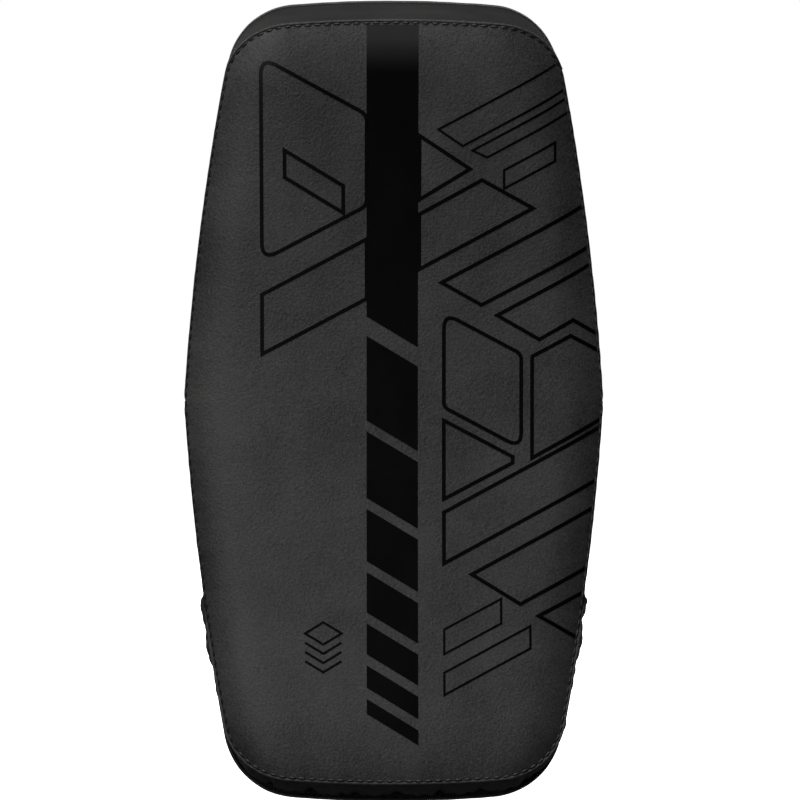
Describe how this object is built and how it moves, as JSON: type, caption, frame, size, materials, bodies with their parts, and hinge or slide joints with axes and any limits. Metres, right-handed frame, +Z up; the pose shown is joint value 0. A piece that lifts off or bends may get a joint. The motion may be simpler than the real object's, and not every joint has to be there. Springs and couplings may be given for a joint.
{
  "type": "kick shield",
  "caption": "Curved, foam-filled kick shield with a concave matt strike face, a gathered lower edge, a hand grip, padded forearm straps and a carry handle on the back.",
  "frame": {"origin": "middle of the hand grip, where the holder's fist closes", "axes": "+X across the shield to the holder's left as they hold it up, -Y out of the strike face, +Z up along the shield"},
  "size_m": [0.3524, 0.2622, 0.6864],
  "materials": {
    "cover_leather": "matt",
    "trim_leather": "satin",
    "grip_leather": "satin",
    "edge_binding": "matt",
    "webbing": "matt",
    "foam": "matt",
    "dense_foam": "matt",
    "grip_tube": "matt",
    "hook_tape": "matt",
    "loop_tape": "matt",
    "tail_tip_rubber": "matt",
    "ring_metal": "satin",
    "zip_tape": "matt",
    "zip_teeth": "satin",
    "zip_metal": "satin",
    "eyelet_metal": "satin"
  },
  "bodies": {
    "shield": {"back_panel_lower": "cover_leather", "back_panel_upper": "cover_leather", "bottom_gusset": "cover_leather", "carry_handle_feet": "webbing", "carry_handle_patches": "trim_leather", "face_foam_sheet": "foam", "grip_core": "grip_tube", "grip_cover": "grip_leather", "grip_patches": "trim_leather", "grip_webbing": "webbing", "impact_foam_core": "foam", "left_side_gusset": "cover_leather", "lower_strap_anchor_patch": "trim_leather", "lower_strap_loop_strip": "loop_tape", "lower_strap_pad": "grip_leather", "lower_strap_ring_loop": "webbing", "lower_strap_ring_patch": "trim_leather", "lower_strap_webbing": "webbing", "lower_zip_tape": "zip_tape", "lower_zip_teeth": "zip_teeth", "rear_edge_binding": "edge_binding", "rear_foam_sheet": "foam", "right_side_gusset": "cover_leather", "shock_sheet": "dense_foam", "strike_panel": "cover_leather", "top_gusset": "cover_leather", "upper_strap_anchor_patch": "trim_leather", "upper_strap_loop_strip": "loop_tape", "upper_strap_pad": "grip_leather", "upper_strap_ring_loop": "webbing", "upper_strap_ring_patch": "trim_leather", "upper_strap_webbing": "webbing", "upper_zip_tape": "zip_tape", "upper_zip_teeth": "zip_teeth", "vent_eyelets": "eyelet_metal", "zip_end_stops": "zip_teeth"},
    "upper_tail": {"upper_strap_tail": "webbing", "upper_strap_hook_strip": "hook_tape", "upper_strap_tail_tip": "tail_tip_rubber"},
    "upper_ring": {"upper_strap_ring": "ring_metal"},
    "lower_tail": {"lower_strap_tail": "webbing", "lower_strap_hook_strip": "hook_tape", "lower_strap_tail_tip": "tail_tip_rubber"},
    "lower_ring": {"lower_strap_ring": "ring_metal"},
    "carry_handle": {"carry_handle_webbing": "webbing", "carry_handle_sleeve": "grip_leather"},
    "zip_slider": {"zip_slider": "zip_metal"},
    "zip_pull": {"zip_pull": "zip_metal"}
  },
  "joints": [
    {"name": "upper_tail_peel", "type": "hinge", "parent": "shield", "child": "upper_tail", "pos_m": [0.08, -0.00346, -0.12643], "axis": [0, 0.0477, -0.9989], "range_deg": [0, 115]},
    {"name": "upper_ring_swing", "type": "hinge", "parent": "shield", "child": "upper_ring", "pos_m": [0.088, -0.03219, -0.12781], "axis": [0, -0.0477, 0.9989], "range_deg": [-3.5, 3.5]},
    {"name": "lower_tail_peel", "type": "hinge", "parent": "shield", "child": "lower_tail", "pos_m": [0.08, -0.00376, -0.27187], "axis": [0, -0.0519, -0.9987], "range_deg": [0, 115]},
    {"name": "lower_ring_swing", "type": "hinge", "parent": "shield", "child": "lower_ring", "pos_m": [0.088, -0.03249, -0.27038], "axis": [0, 0.0519, 0.9987], "range_deg": [-3.5, 3.5]},
    {"name": "carry_handle_swing", "type": "hinge", "parent": "shield", "child": "carry_handle", "pos_m": [0, -0.0427, -0.35611], "axis": [1, 0, 0], "range_deg": [0, 95]},
    {"name": "zip_slide", "type": "slide", "parent": "shield", "child": "zip_slider", "axis": [1, 0, 0], "range_m": [0, 0.22]},
    {"name": "zip_pull_flip", "type": "hinge", "parent": "zip_slider", "child": "zip_pull", "pos_m": [-0.11, -0.05852, -0.46726], "axis": [0, 0.1897, 0.9818], "range_deg": [0, 170]}
  ]
}
